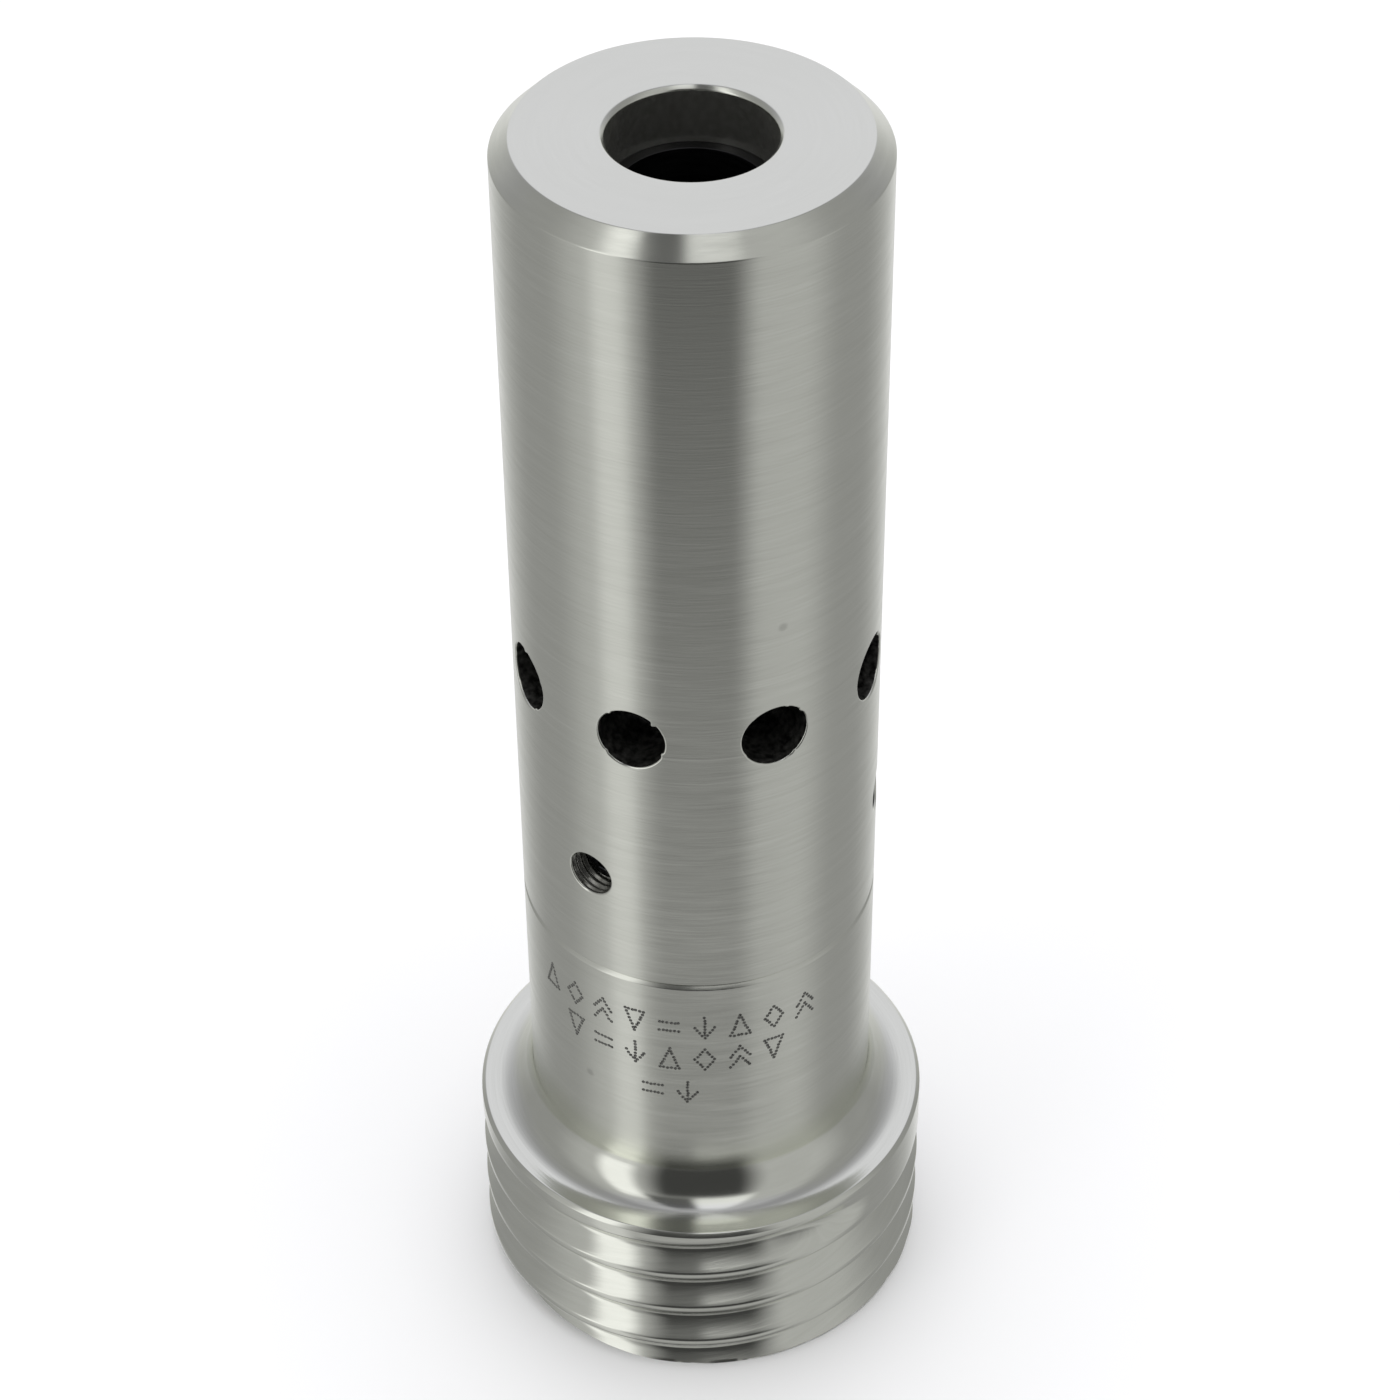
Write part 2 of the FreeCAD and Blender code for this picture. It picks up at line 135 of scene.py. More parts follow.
def joined(patches):
    """Several (points, quads) patches as one, their quads renumbered, and each quad's patch."""
    points = np.concatenate([patch[0] for patch in patches])
    starts = np.cumsum([0] + [len(patch[0]) for patch in patches[:-1]])
    quads = np.concatenate([patch[1] + start for patch, start in zip(patches, starts)])
    owners = np.repeat(np.arange(len(patches)), [len(patch[1]) for patch in patches])
    used, renumbered = np.unique(quads, return_inverse=True)
    return points[used], renumbered.reshape(-1, 4), owners


def shade_as_cylinder(mesh, radius):
    """Give faces that lie on the cylinder of this radius its own normals, straight out from Z."""
    spots = np.empty(len(mesh.vertices) * 3, dtype=np.float32)
    mesh.vertices.foreach_get("co", spots)
    corners = np.empty(len(mesh.loops), dtype=np.int32)
    mesh.loops.foreach_get("vertex_index", corners)
    sizes = np.empty(len(mesh.polygons), dtype=np.int32)
    mesh.polygons.foreach_get("loop_total", sizes)
    spots = spots.reshape(-1, 3)[corners]
    reach = np.hypot(spots[:, 0], spots[:, 1])
    on_it = np.abs(reach - radius) < 1e-6
    whole = np.logical_and.reduceat(on_it, np.cumsum(sizes) - sizes)
    chosen = np.repeat(whole, sizes)
    if chosen.any():
        normals = np.empty(len(mesh.loops) * 3, dtype=np.float32)
        mesh.corner_normals.foreach_get("vector", normals)
        normals = normals.reshape(-1, 3)
        normals[chosen] = 0.0
        normals[chosen, :2] = spots[chosen, :2] / reach[chosen, None]
        mesh.normals_split_custom_set(normals.tolist())


def lay_piece(name, patches, materials, body, nodes, finishes=None, sharp=32.0):
    """Weld the patches into one closed mesh that faces outwards, and hang it on its body.

    The finishes give each patch its number in the list of materials, or 0 for all of them.
    """
    points, quads, owners = joined(patches)
    mesh = bpy.data.meshes.new(name)
    mesh.from_pydata((points * MM).tolist(), [], quads.tolist())
    for material in materials:
        mesh.materials.append(material)
    if finishes:
        mesh.polygons.foreach_set("material_index", np.array(finishes, dtype=np.int32)[owners])
    work = bmesh.new()
    work.from_mesh(mesh)
    bmesh.ops.remove_doubles(work, verts=work.verts, dist=2e-7)
    bmesh.ops.recalc_face_normals(work, faces=work.faces)
    work.to_mesh(mesh)
    work.free()
    mesh.shade_smooth()
    mesh.set_sharp_from_angle(angle=math.radians(sharp))
    shade_as_cylinder(mesh, barrel_radius * MM)
    piece = bpy.data.objects.new(name, mesh)
    bpy.context.scene.collection.objects.link(piece)
    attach(piece, body)
    if nodes:
        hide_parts(*nodes)
    return piece


def flank(climbed, rounding):
    """A 0-to-1 slope over 0 to 1; each end bends as a parabola within its rounding's reach."""
    def bend(x, reach):
        return np.where(np.abs(x) < reach, (x + reach) ** 2 / (4 * reach), np.maximum(x, 0.0))
    return bend(climbed, rounding[0]) - bend(climbed - 1.0, rounding[1])


def thread_reach(turn, rise):
    """Radius of the threaded head at a turn (radians, 0 to 2 pi) and a rise.

    The rise, less the climb of the helix, gives the height above the last crest.  The radius
    falls over the upper flank above that crest and returns over the lower flank of the next.
    The groove is shallower near its last quarter turn, where the tool was drawn out, and the
    inlet end is chamfered.
    """
    climb = thread_pitch * turn / (2 * math.pi)
    lead = (rise - climb) / thread_pitch
    above = (lead - np.floor(lead)) * thread_pitch
    falling = flank((above - crest_half) / flank_run, upper_rounding)
    returning = flank((thread_pitch - above - crest_half) / flank_run, lower_rounding)
    share = np.minimum(falling, returning)
    cut = thread_depth * (share + flank_hollow * share * (1 - share))
    last_turn = np.floor((shoulder_rise - groove_start) / thread_pitch) - 0.5
    groove_turns = np.floor(lead) + 0.5 + turn / (2 * math.pi)
    left_to_run = last_turn - run_out_turn - groove_turns
    drawn_out = np.clip(left_to_run / run_out_length, 0.0, 1.0)
    cut = cut * drawn_out * drawn_out * (3 - 2 * drawn_out)
    return np.minimum(thread_radius - cut, thread_radius - end_chamfer + rise)


def threaded_head(face_radius, top):
    """Points and quads of the thread: the end face out from this radius, then level rows over
    the chamfer, then rows that climb with the helix and are held between the chamfer and the top.
    """
    turn = np.arange(AROUND) * 2 * math.pi / AROUND
    level = np.linspace(0.0, end_chamfer, 8)[:, None] + 0 * turn
    upper, lower = [
        crest_half + flank_run * np.concatenate([
            reach[0] * np.linspace(-1, 1, edge_rows), middle,
            1 + reach[1] * np.linspace(-1, 1, foot_rows)])
        for reach, edge_rows, middle, foot_rows in (
            (upper_rounding, 5, [0.2, 0.35, 0.5, 0.62], 7), (lower_rounding, 6, [0.5], 4))]
    phases = np.sort(np.concatenate([upper, thread_pitch - lower]))
    turns = np.arange(-1, math.ceil(top / thread_pitch) + 1) * thread_pitch
    starts = (turns[:, None] + phases).ravel()
    climb = thread_pitch * turn / (2 * math.pi)
    helical = np.clip(starts[:, None] + climb, end_chamfer, top)
    patches = []
    for rises in (level, helical):
        across = thread_reach(turn[None, :], rises)
        if rises is level:
            rises = np.concatenate([0 * turn[None, :], rises])
            across = np.concatenate([face_radius + 0 * turn[None, :], across])
        points = np.stack([across * np.cos(turn), across * np.sin(turn), rises], axis=-1)
        quads = grid_faces(len(rises), AROUND, False)
        patches.append((points.reshape(-1, 3), quads))
    seam_level = np.array([[row * AROUND + AROUND - 1, row * AROUND,
                            (row + 1) * AROUND, (row + 1) * AROUND + AROUND - 1]
                           for row in range(len(level))])
    lift = len(phases)
    rows = np.arange(len(starts) - lift - 1)
    last = rows * AROUND + AROUND - 1
    first = (rows + lift) * AROUND
    seam_helical = np.stack([last, first, first + AROUND, last + AROUND], axis=-1)
    patches[0] = (patches[0][0], np.concatenate([patches[0][1], seam_level]))
    patches[1] = (patches[1][0], np.concatenate([patches[1][1], seam_helical]))
    return patches


def linked(tree, kind, inputs=(), **settings):
    """A node with its settings, each input either a socket to link or a plain value."""
    node = tree.nodes.new(kind)
    for name, setting in settings.items():
        setattr(node, name, setting)
    for name, source in dict(inputs).items():
        if isinstance(source, bpy.types.NodeSocket):
            tree.links.new(source, node.inputs[name])
        else:
            node.inputs[name].default_value = source
    return node


def worked(tree, operation, first, second=0.0):
    """The result of one arithmetic node."""
    return linked(tree, "ShaderNodeMath", {0: first, 1: second}, operation=operation).outputs[0]


def remapped(tree, value, low, high, to_low, to_high, smooth=False):
    """A value carried from one range to another, held at the ends."""
    node = linked(tree, "ShaderNodeMapRange", {
        "Value": value, "From Min": low, "From Max": high, "To Min": to_low, "To Max": to_high},
        interpolation_type="SMOOTHSTEP" if smooth else "LINEAR")
    return node.outputs["Result"]


def new_material(name):
    """An empty node material with its Principled shader."""
    material = bpy.data.materials.new(name)
    material.use_nodes = True
    return material, material.node_tree, material.node_tree.nodes["Principled BSDF"]


def turning_vector(tree, marks_per_mm, wander):
    """A pattern space for lathe marks: fast along the outline, slow round the axis.

    The first two values are the direction from the axis times the wander, and the third is the
    rise plus 1.37 times the distance from the axis, in marks.
    """
    spot = linked(tree, "ShaderNodeSeparateXYZ", {
        0: linked(tree, "ShaderNodeTexCoord").outputs["Object"]}).outputs
    square = worked(tree, "ADD", worked(tree, "MULTIPLY", spot["X"], spot["X"]),
                    worked(tree, "MULTIPLY", spot["Y"], spot["Y"]))
    across = worked(tree, "MAXIMUM", worked(tree, "SQRT", square), 1e-5)
    along = worked(tree, "ADD", spot["Z"], worked(tree, "MULTIPLY", across, 1.37))
    return linked(tree, "ShaderNodeCombineXYZ", {
        "X": worked(tree, "MULTIPLY", worked(tree, "DIVIDE", spot["X"], across), wander),
        "Y": worked(tree, "MULTIPLY", worked(tree, "DIVIDE", spot["Y"], across), wander),
        "Z": worked(tree, "MULTIPLY", along, marks_per_mm / MM)}).outputs[0]


def turned_aluminium():
    """Bright turned aluminium: lathe marks in bump, sheen and tone, and smears along the axis.

    The head, its fillet and the shoulder were cut with a finer feed and mirror more sharply.
    Tool changes leave a witness line, and handling has left two small dull spots.
    """
    material, tree, shader = new_material("turned_aluminium")
    place = linked(tree, "ShaderNodeTexCoord").outputs["Object"]
    rise = linked(tree, "ShaderNodeSeparateXYZ", {0: place}).outputs["Z"]
    fine = linked(tree, "ShaderNodeTexNoise", {
        "Vector": turning_vector(tree, 5.0, 3.0), "Scale": 1.0, "Detail": 3.0,
        "Roughness": 0.6}).outputs["Fac"]
    coarse = linked(tree, "ShaderNodeTexNoise", {
        "Vector": turning_vector(tree, 0.9, 1.6), "Scale": 1.0, "Detail": 2.0}).outputs["Fac"]
    tone = worked(tree, "ADD", worked(tree, "MULTIPLY", fine, 0.6),
                  worked(tree, "MULTIPLY", coarse, 0.4))
    faced = remapped(tree, rise, (exit_face - 0.06) * MM, (exit_face - 0.03) * MM, 1.0, 0.3)
    tone = worked(tree, "ADD", worked(tree, "MULTIPLY", worked(tree, "SUBTRACT", tone, 0.5), faced),
                  0.5)
    off_line = worked(tree, "ABSOLUTE", worked(tree, "SUBTRACT", rise, witness_rise * MM))
    line = worked(tree, "MULTIPLY", remapped(tree, off_line, 0.0, 0.00025, 1.0, 0.0),
                  remapped(tree, coarse, 0.42, 0.55, 0.0, 1.0))
    spots = 1.0
    for spot in dull_spots:
        distance = linked(tree, "ShaderNodeVectorMath", {0: place, 1: [MM * c for c in spot]},
                          operation="DISTANCE").outputs["Value"]
        spots = worked(tree, "MULTIPLY", remapped(tree, distance, 0.0002, 0.0007, 0.80, 1.0, True),
                       spots)
    colour = linked(tree, "ShaderNodeMix", {
        "Factor": remapped(tree, worked(tree, "ADD", tone, worked(tree, "MULTIPLY", line, 0.35)),
                           0.3, 0.7, 0.0, 1.0),
        "A": (0.80, 0.812, 0.742, 1.0), "B": (0.88, 0.893, 0.822, 1.0)},
        data_type="RGBA").outputs["Result"]
    dulled = linked(tree, "ShaderNodeVectorMath", {0: colour, "Scale": spots},
                    operation="SCALE").outputs["Vector"]
    tree.links.new(dulled, shader.inputs["Base Color"])
    feed = remapped(tree, rise, (head_finish_top - 0.3) * MM, (head_finish_top + 0.3) * MM,
                    0.58, 1.0, True)
    sheen = worked(tree, "MULTIPLY", remapped(tree, tone, 0.3, 0.7, 0.24, 0.17), feed)
    tree.links.new(sheen, shader.inputs["Roughness"])
    bump = linked(tree, "ShaderNodeBump", {
        "Height": worked(tree, "MULTIPLY", worked(tree, "ADD", fine, line), faced),
        "Strength": 0.12, "Distance": 0.00004})
    tree.links.new(bump.outputs["Normal"], shader.inputs["Normal"])
    tangent = linked(tree, "ShaderNodeTangent", direction_type="RADIAL", axis="Z")
    tree.links.new(tangent.outputs["Tangent"], shader.inputs["Tangent"])
    shader.inputs["Metallic"].default_value = 1.0
    shader.inputs["Anisotropic"].default_value = 0.75
    shader.inputs["Anisotropic Rotation"].default_value = 0.25
    return material


aluminium = turned_aluminium()

edge_room = 0.15
head_top = shoulder_rise - shoulder_edge - edge_room
face_radius = 21.0
shoulder_line = softened([
    (thread_radius, head_top, 0.0),
    (thread_radius, shoulder_rise - shoulder_edge, 0.06),
    (thread_radius - shoulder_edge, shoulder_rise, 0.08),
    (barrel_radius + cove_radius, shoulder_rise, 0.0),
], closed=False)
barrel_line = softened([
    (barrel_radius, shoulder_rise + cove_radius, 0.0),
    (barrel_radius, seam_rise - seam_edge, 0.05),
    (barrel_radius - seam_edge, seam_rise, 0.05),
    (spigot_radius, seam_rise, 0.2),
    (spigot_radius, spigot_top - spigot_edge, 0.1),
    (spigot_radius - spigot_edge, spigot_top, 0.1),
    (slim_pocket_radius, spigot_top, 0.1),
    (slim_pocket_radius, liner_taper_top, 0.0),
    (head_pocket_radius, liner_head_length, 0.0),
    (head_pocket_radius, 0.0, 0.1),
    (face_radius, 0.0, 0.0),
], closed=False)
jacket_outline = np.concatenate([
    shoulder_line, quarter_hollow(barrel_radius, shoulder_rise, cove_radius), barrel_line])
jacket_patches = threaded_head(face_radius, head_top) + [turned(jacket_outline)]
lay_piece("rear_body_turned", jacket_patches, [aluminium],
          "jacket", ["rear_body"])

# ---------------------------------------------------------------------------------------------
# Marking on the jacket.  Three rows of plain geometric signs, struck dot by dot with a stylus
# into the finished barrel: each blow leaves a small crater with a raised rim.
# ---------------------------------------------------------------------------------------------
dot_pitch = 0.46
sign_half = (1.05, 1.5)
sign_pitch = 11.5
first_sign = -35.35
sign_rows = [(48.85, 0.0, 9), (44.1, 1.0, 7), (39.1, 3.5, 2)]
signs = [
    [[(-1, -1), (0, 1), (1, -1), (-1, -1)]],
    [[(0, -1), (1, 0), (0, 1), (-1, 0), (0, -1)]],
    [[(-1, 0), (0, 1), (1, 0)], [(-1, -1), (0, 0), (1, -1)]],
    [[(-1, 1), (1, 1), (0, -1), (-1, 1)]],
    [[(-1, -0.4), (1, -0.4)], [(-1, 0.4), (1, 0.4)]],
    [[(0, 1), (0, -1)], [(-1, 0), (0, -1), (1, 0)]],
]


def sign_dots(strokes):
    """Dots of one sign, evenly spaced along each straight run of its strokes."""
    dots = []
    for stroke in strokes:
        ends = np.array(stroke) * sign_half
        for start, end in zip(ends[:-1], ends[1:]):
            count = round(np.linalg.norm(end - start) / dot_pitch)
            dots.append(start + (end - start) * np.linspace(0, 1, count + 1)[:, None])
    return np.unique(np.round(np.concatenate(dots), 3), axis=0)


def craters(middles, around=8):
    """Closed low craters on the barrel at (turn in degrees, rise): a dished top inside a rim."""
    reach = np.array([0.0, 0.09, 0.15, 0.19, 0.225, 0.0])
    height = np.array([0.004, 0.012, 0.042, 0.022, -0.02, -0.02])
    spin = np.arange(around) * 2 * math.pi / around
    turn = np.radians(middles[:, 0])[:, None, None]
    turn = turn + reach[:, None] * np.cos(spin) / barrel_radius
    rises = middles[:, 1][:, None, None] + reach[:, None] * np.sin(spin)
    across = barrel_radius + height[:, None] + 0 * turn
    points = np.stack([across * np.cos(turn), across * np.sin(turn), rises], axis=-1)
    quads = grid_faces(len(reach), around, True)
    starts = np.arange(len(middles)) * len(reach) * around
    return points.reshape(-1, 3), (starts[:, None, None] + quads).reshape(-1, 4)


def struck_aluminium_painted_shade():
    """Aluminium roughened and greyed by the stylus, with painted shade: the dark greys also stand
    for the shade that falls inside the small craters.
    """
    material, tree, shader = new_material("struck_aluminium_painted_shade")
    spots = linked(tree, "ShaderNodeTexNoise", {
        "Vector": linked(tree, "ShaderNodeTexCoord").outputs["Object"], "Scale": 3000.0,
        "Detail": 2.0}).outputs["Fac"]
    # Painted shade: these dark greys darken the craters partly for the shade inside them.
    colour = linked(tree, "ShaderNodeMix", {
        "Factor": spots, "A": (0.12, 0.12, 0.11, 1.0), "B": (0.42, 0.42, 0.40, 1.0)},
        data_type="RGBA").outputs["Result"]
    tree.links.new(colour, shader.inputs["Base Color"])
    tree.links.new(remapped(tree, spots, 0.3, 0.7, 0.35, 0.55), shader.inputs["Roughness"])
    shader.inputs["Metallic"].default_value = 1.0
    return material


middles = []
kind = 0
stylus = np.random.default_rng(7)
for row_rise, row_start, row_count in sign_rows:
    for number in range(row_count):
        dots = sign_dots(signs[kind % len(signs)])
        dots = dots + stylus.normal(0.0, 0.035, dots.shape)
        bearing = first_sign - 90.0 + sign_pitch * (row_start + number)
        middles.append(np.column_stack([
            bearing + np.degrees(dots[:, 0] / barrel_radius), row_rise + dots[:, 1]]))
        kind += 1
lay_piece("jacket_marking", [craters(np.concatenate(middles))], [struck_aluminium_painted_shade()], "jacket",
          [])

# ---------------------------------------------------------------------------------------------
# Inlet liner and its adhesive.  The liner is ground carbide: a long cone to the quarter-inch
# throat and a flared tip.  It is bonded into the jacket before the sleeve goes on.
# ---------------------------------------------------------------------------------------------
bond_gap = 0.75
bond_inset = 1.0
ring_around = 180
liner_tip = spigot_top + 1.5
entry_radius = 15.9
entry_edge = 1.2
cone_top = 50.0
throat_top = 59.0
throat_radius = 3.175
tip_bore = 4.6


def hard_carbide():
    """Dark ground carbide: fine grinding lines and a dull metallic shine."""
    material, tree, shader = new_material("hard_carbide")
    lines = linked(tree, "ShaderNodeTexNoise", {
        "Vector": turning_vector(tree, 4.0, 2.0), "Scale": 1.0, "Detail": 3.0}).outputs["Fac"]
    colour = linked(tree, "ShaderNodeMix", {
        "Factor": lines, "A": (0.035, 0.035, 0.037, 1.0), "B": (0.085, 0.085, 0.088, 1.0)},
        data_type="RGBA").outputs["Result"]
    tree.links.new(colour, shader.inputs["Base Color"])
    tree.links.new(remapped(tree, lines, 0.3, 0.7, 0.32, 0.48), shader.inputs["Roughness"])
    bump = linked(tree, "ShaderNodeBump", {
        "Height": lines, "Strength": 0.2, "Distance": 0.00004})
    tree.links.new(bump.outputs["Normal"], shader.inputs["Normal"])
    shader.inputs["Metallic"].default_value = 1.0
    return material


def cured_adhesive():
    """Cured grey epoxy: dull, slightly lumpy, with paler specks of filler."""
    material, tree, shader = new_material("cured_adhesive")
    lumps = linked(tree, "ShaderNodeTexNoise", {
        "Vector": linked(tree, "ShaderNodeTexCoord").outputs["Object"], "Scale": 900.0,
        "Detail": 4.0}).outputs["Fac"]
    colour = linked(tree, "ShaderNodeMix", {
        "Factor": remapped(tree, lumps, 0.45, 0.75, 0.0, 1.0),
        "A": (0.05, 0.05, 0.047, 1.0), "B": (0.16, 0.16, 0.15, 1.0)},
        data_type="RGBA").outputs["Result"]
    tree.links.new(colour, shader.inputs["Base Color"])
    tree.links.new(remapped(tree, lumps, 0.3, 0.7, 0.45, 0.65), shader.inputs["Roughness"])
    bump = linked(tree, "ShaderNodeBump", {
        "Height": lumps, "Strength": 0.4, "Distance": 0.0001})
    tree.links.new(bump.outputs["Normal"], shader.inputs["Normal"])
    return material


def ring_piece(name, corners, material, body, node):
    """A turned piece whose outline closes on itself."""
    outline = softened(corners)
    lay_piece(name, [turned(np.concatenate([outline, outline[:1]]), ring_around)], [material],
              body, [node])


carbide = hard_carbide()
adhesive = cured_adhesive()
liner_head_radius = head_pocket_radius - bond_gap
liner_slim_radius = slim_pocket_radius - bond_gap
ring_piece("inlet_liner_ground", [
    (entry_radius + entry_edge, 0.0, 0.3), (liner_head_radius, 0.0, 0.15),
    (liner_head_radius, liner_head_length, 0.0), (liner_slim_radius, liner_taper_top, 0.0),
    (liner_slim_radius, liner_tip, 0.15), (tip_bore, liner_tip, 0.15),
    (throat_radius, throat_top, 0.5), (throat_radius, cone_top, 0.5),
    (entry_radius, entry_edge, 0.8),
], carbide, "jacket", "inlet_liner")
ring_piece("inlet_liner_adhesive", [
    (liner_head_radius, bond_inset, 0.0), (head_pocket_radius, bond_inset, 0.0),
    (head_pocket_radius, liner_head_length, 0.0), (slim_pocket_radius, liner_taper_top, 0.0),
    (slim_pocket_radius, spigot_top - bond_inset, 0.0),
    (liner_slim_radius, spigot_top - bond_inset, 0.0),
    (liner_slim_radius, liner_taper_top, 0.0), (liner_head_radius, liner_head_length, 0.0),
], adhesive, "jacket", "inlet_liner_bond")

# ---------------------------------------------------------------------------------------------
# Front sleeve.  Turned from the same bar, bored from the joint end, then cross-drilled: eight
# plain air holes and three tapped holes for the set screws.  It pushes on to the spigot.
# ---------------------------------------------------------------------------------------------
face_chamfer = 1.9
lip_radius = 8.15
lip_edge = 0.42
lip_underside = 141.2
exit_pocket_radius = 12.0
socket_radius = 12.55
socket_end = 80.0
air_hole_radius = 3.55
air_hole_rise = 88.3
air_hole_bearings = np.arange(8) * 45.0
tapped_radius = 2.55
tapped_groove = 0.32
screw_pitch = 0.8
screw_rise = 67.9
screw_bearings = -105.6 + np.arange(3) * 120.0
hole_edge = 0.2
air_hole_burr = 0.16
burr_reach = 0.5
groove_fade = 0.4
air_window_reach = 5.2
screw_window_reach = 3.6
air_wall_rings = 9
tapped_wall_rings = 84


def window_edge(half, rows):
    """Once round the edge of a window, as columns from its middle and rows from its foot."""
    across = np.arange(-half, half)
    up = np.arange(rows)
    return np.concatenate([
        np.column_stack([across, 0 * across]), np.column_stack([0 * up + half, up]),
        np.column_stack([-across, 0 * across + rows]), np.column_stack([0 * up - half, rows - up])])


def band_between(radius, low, high, rows, half, bearings):
    """A band of cylinder, less a window for each hole at these bearings."""
    points, quads = turned(np.column_stack([
        np.full(rows + 1, radius), np.linspace(low, high, rows + 1)]))
    column = np.arange(AROUND)[None, :] + np.zeros((rows, 1), int)
    middle = np.round(bearings * AROUND / 360)
    away = (column.ravel()[:, None] - middle + AROUND / 2) % AROUND - AROUND / 2
    clear = ((away < -half) | (away >= half)).all(axis=1)
    return points, quads[clear]


def ragged(turn, seed, size):
    """An uneven burr round a drilled edge: a few sine waves, kept only where they add up."""
    draw = np.random.default_rng(seed)
    waves = np.arange(4, 19)
    phases = draw.uniform(0, 2 * math.pi, len(waves))
    total = np.cos(waves[:, None] * turn + phases[:, None]).sum(axis=0) / math.sqrt(len(waves))
    return size * np.clip(total - 0.5, 0.0, 1.5) ** 2


def cross_hole(bearing, rise, radius, edge, outside, inside, half, rows, wall, seed, burr):
    """One hole as two patches: the outer surface down to its rim, and the wall and bore behind.

    A ring of points goes once round the hole.  Rings run from the window's straight edge in to
    the round rim by fair shares of the way, over the rounded edge, down the wall by the given
    function of depth, and out again to the window in the bore.
    """
    step = 2 * math.pi / AROUND
    middle = round(bearing * AROUND / 360) * step
    axis = math.radians(bearing)
    edge_spots = window_edge(half, rows)
    spots_turn = middle + edge_spots[:, 0] * step
    spin = np.arctan2(
        outside[1] + (outside[2] - outside[1]) * edge_spots[:, 1] / rows - rise,
        outside[0] * np.sin(spots_turn - axis))
    rim = radius - ragged(spin, seed, burr)

    def surface_rings(surface, shares):
        spots_rise = surface[1] + (surface[2] - surface[1]) * edge_spots[:, 1] / rows
        across = (rim + edge) * np.cos(spin)
        rim_turn = axis + np.arcsin(across / surface[0])
        rim_rise = rise + (rim + edge) * np.sin(spin)
        share = shares[:, None]
        turn = rim_turn * (1 - share) + spots_turn * share
        rises = rim_rise * (1 - share) + spots_rise * share
        return np.stack([surface[0] * np.cos(turn), surface[0] * np.sin(turn), rises], axis=-1)

    def hole_rings(reach, outward):
        sideways = reach * np.cos(spin)
        return np.stack([
            outward * math.cos(axis) - sideways * math.sin(axis),
            outward * math.sin(axis) + sideways * math.cos(axis),
            rise + reach * np.sin(spin)], axis=-1)

    def edge_rings(surface, side):
        fall = np.linspace(0.0, 0.5 * math.pi, 5)[1:, None]
        reach = rim + edge * (1 - np.sin(fall))
        outward = np.sqrt(surface[0] ** 2 - (reach * np.cos(spin)) ** 2)
        return hole_rings(reach, outward - side * edge * (1 - np.cos(fall)))

    shares = np.array([1.0, 0.6, 0.3, 0.12, 0.03, 0.0])
    top = np.sqrt(outside[0] ** 2 - (rim * np.cos(spin)) ** 2) - edge
    foot = np.sqrt(inside[0] ** 2 - (rim * np.cos(spin)) ** 2) + edge
    depth = np.linspace(0.0, 1.0, wall[0] + 1)[1:-1, None]
    outward = top * (1 - depth) + foot * depth
    ends = np.minimum(top - outward, outward - foot)
    rings = np.concatenate([
        surface_rings(outside, shares), edge_rings(outside, 1.0),
        hole_rings(wall[1](outward, spin, ends, rim), outward),
        edge_rings(inside, -1.0)[::-1], surface_rings(inside, shares[::-1])])
    rim_ring = len(shares) + 3
    return [(part.reshape(-1, 3), grid_faces(len(part), len(spin), True))
            for part in (rings[:rim_ring + 1], rings[rim_ring:])]


def drilled_wall(outward, spin, ends, rim):
    """A plain drilled wall; the burr at its mouth dies out a short way in."""
    share = np.clip(1 - ends / burr_reach, 0.0, 1.0)
    return air_hole_radius + (rim - air_hole_radius) * share


def tapped_wall(outward, spin, ends, rim):
    """A tapped wall: a rounded groove that winds once every pitch and fades at both ends."""
    lead = outward / screw_pitch - spin / (2 * math.pi)
    groove = 0.5 - 0.5 * np.cos(2 * math.pi * lead)
    return tapped_radius + tapped_groove * groove * np.clip(ends / groove_fade, 0.0, 1.0)


air_outside = (barrel_radius, air_hole_rise - air_window_reach, air_hole_rise + air_window_reach)
air_inside = (exit_pocket_radius, air_hole_rise - air_window_reach, air_hole_rise + air_window_reach)
screw_outside = (barrel_radius, screw_rise - screw_window_reach, screw_rise + screw_window_reach)
screw_inside = (socket_radius, screw_rise - screw_window_reach, screw_rise + screw_window_reach)
air_half, air_rows = 21, 16
screw_half, screw_rows = 15, 12
sleeve_outline = softened([
    (socket_radius, seam_rise, 0.1),
    (barrel_radius - seam_edge, seam_rise, 0.05),
    (barrel_radius, seam_rise + seam_edge, 0.05),
    (barrel_radius, exit_face - face_chamfer, 0.08),
    (barrel_radius - face_chamfer, exit_face, 0.08),
    (lip_radius + lip_edge, exit_face, 0.14),
    (lip_radius, exit_face - lip_edge, 0.14),
    (lip_radius, lip_underside, 0.05),
    (exit_pocket_radius, lip_underside, 0.0),
    (exit_pocket_radius, socket_end, 0.05),
    (socket_radius, socket_end, 0.0),
])


